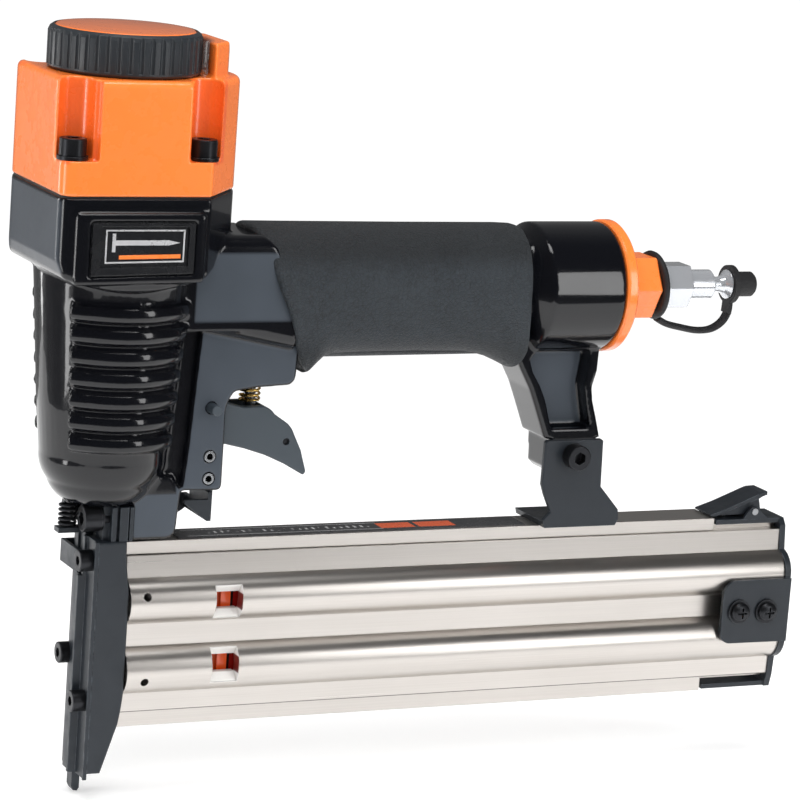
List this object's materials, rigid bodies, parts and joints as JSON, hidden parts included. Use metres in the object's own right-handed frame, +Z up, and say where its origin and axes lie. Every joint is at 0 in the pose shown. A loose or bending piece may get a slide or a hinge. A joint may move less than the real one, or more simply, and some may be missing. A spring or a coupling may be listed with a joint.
{
  "type": "pneumatic nail gun",
  "caption": "Compressed-air brad nailer: black cast body with ribbed barrel, orange cylinder cap, fluted exhaust deflector, rubber grip, lever trigger and slide-open straight magazine",
  "frame": {"origin": "on the drive axis, level with the tip of the nose when the contact foot is pressed", "axes": "+X back along the handle to the air inlet, +Y to the far side of the tool, +Z up the drive axis"},
  "size_m": [0.2815, 0.0566, 0.2497],
  "materials": {
    "casting_black": "gloss black paint",
    "orange_paint": "gloss orange paint",
    "orange_plastic": "gloss orange",
    "badge_metal": "satin",
    "seal_rubber": "matt",
    "black_oxide": "black oxide",
    "knob_plastic": "matt moulded",
    "grip_rubber": "grained rubber",
    "chrome_steel": "chrome plate",
    "bare_aluminium": "honed",
    "bare_steel": "ground steel",
    "magazine_alloy": "satin anodised",
    "label_film": "printed film",
    "nose_steel": "blued steel",
    "trigger_alloy": "satin grey",
    "spring_brass": "bright",
    "bumper_rubber": "urethane",
    "pusher_orange": "moulded",
    "pusher_red": "moulded"
  },
  "bodies": {
    "tool_body": {"gun_body": "casting_black", "badge_plate": "badge_metal", "cap_gasket": "seal_rubber", "cylinder_cap": "orange_paint", "cap_screws": "black_oxide", "cap_washers": "black_oxide", "cylinder_sleeve": "bare_aluminium", "sleeve_seal": "seal_rubber", "bumper": "bumper_rubber", "head_valve_spring": "bare_steel", "deflector_screw": "black_oxide", "grip_sleeve": "grip_rubber", "end_cap": "orange_paint", "end_cap_oring": "seal_rubber", "air_plug": "chrome_steel", "dust_tether": "seal_rubber", "valve_seat": "bare_aluminium", "valve_orings": "seal_rubber", "valve_spring": "bare_steel", "trigger_spring": "spring_brass", "trigger_pin": "black_oxide", "roll_pins": "black_oxide", "nose_clamp": "nose_steel", "driver_guide": "nose_steel", "nose_plate": "nose_steel", "nose_screws": "black_oxide", "nose_bolts": "black_oxide", "nose_washers": "black_oxide", "contact_spring": "bare_steel", "magazine_rail": "magazine_alloy", "rail_label": "label_film", "tail_bracket": "nose_steel", "bracket_bolt": "black_oxide", "bracket_nut": "black_oxide"},
    "deflector": {"deflector_knob": "knob_plastic", "deflector_disc": "orange_plastic"},
    "drive_piston": {"piston": "bare_aluminium", "piston_oring": "seal_rubber", "driver_blade": "bare_steel"},
    "head_valve_body": {"head_valve": "bare_aluminium", "head_valve_oring": "seal_rubber"},
    "trigger_body": {"trigger": "trigger_alloy", "trigger_lever": "bare_steel", "lever_pin": "bare_steel"},
    "valve_stem_body": {"valve_stem": "bare_steel"},
    "contact_trip": {"contact_foot": "nose_steel", "contact_arm": "nose_steel"},
    "magazine_slide_body": {"magazine_channel": "magazine_alloy", "end_plate": "nose_steel", "end_screws": "black_oxide", "end_washers": "black_oxide", "latch_pin": "bare_steel", "latch_spring": "bare_steel", "pusher_spring": "bare_steel"},
    "latch_body": {"latch_lever": "nose_steel"},
    "pusher_body": {"nail_pusher": "pusher_orange", "pusher_inserts": "pusher_red"},
    "dust_cap_body": {"dust_cap": "seal_rubber"}
  },
  "joints": [
    {"name": "deflector_spin", "type": "hinge", "parent": "tool_body", "child": "deflector", "pos_m": [0, 0, 0.24], "axis": [0, 0, 1], "continuous": true},
    {"name": "piston_stroke", "type": "slide", "parent": "tool_body", "child": "drive_piston", "axis": [0, 0, -1], "range_m": [0, 0.072]},
    {"name": "head_valve_lift", "type": "slide", "parent": "tool_body", "child": "head_valve_body", "axis": [0, 0, 1], "range_m": [0, 0.003], "stiffness_N_per_m": 800, "springref_m": -0.002, "deforming": ["head_valve_spring"]},
    {"name": "trigger_pull", "type": "hinge", "parent": "tool_body", "child": "trigger_body", "pos_m": [0.032, 0, 0.1265], "axis": [0, -1, 0], "range_deg": [0, 12], "stiffness_Nm_per_rad": 0.6, "springref_deg": -5.73, "deforming": ["trigger_spring"]},
    {"name": "valve_stem_lift", "type": "slide", "parent": "tool_body", "child": "valve_stem_body", "axis": [0, 0, 1], "range_m": [0, 0.0038], "deforming": ["valve_spring"]},
    {"name": "contact_lift", "type": "slide", "parent": "tool_body", "child": "contact_trip", "axis": [0, 0, 1], "range_m": [0, 0.006], "stiffness_N_per_m": 600, "springref_m": -0.004, "deforming": ["contact_spring"]},
    {"name": "magazine_slide", "type": "slide", "parent": "tool_body", "child": "magazine_slide_body", "axis": [1, 0, 0], "range_m": [0, 0.11]},
    {"name": "latch_press", "type": "hinge", "parent": "magazine_slide_body", "child": "latch_body", "pos_m": [0.241, 0, 0.0838], "axis": [0, 1, 0], "range_deg": [0, 10], "stiffness_Nm_per_rad": 0.4, "springref_deg": -5.73, "deforming": ["latch_spring"]},
    {"name": "pusher_slide", "type": "slide", "parent": "magazine_slide_body", "child": "pusher_body", "axis": [1, 0, 0], "range_m": [0, 0.15], "deforming": ["pusher_spring"]},
    {"name": "dust_cap_swing", "type": "hinge", "parent": "tool_body", "child": "dust_cap_body", "pos_m": [0.2282, 0, 0.1232], "axis": [0, 1, 0], "range_deg": [0, 60]}
  ],
  "couplings": [
    {"joint": "valve_stem_lift", "follows": "trigger_pull", "m_per_rad": 0.018}
  ]
}
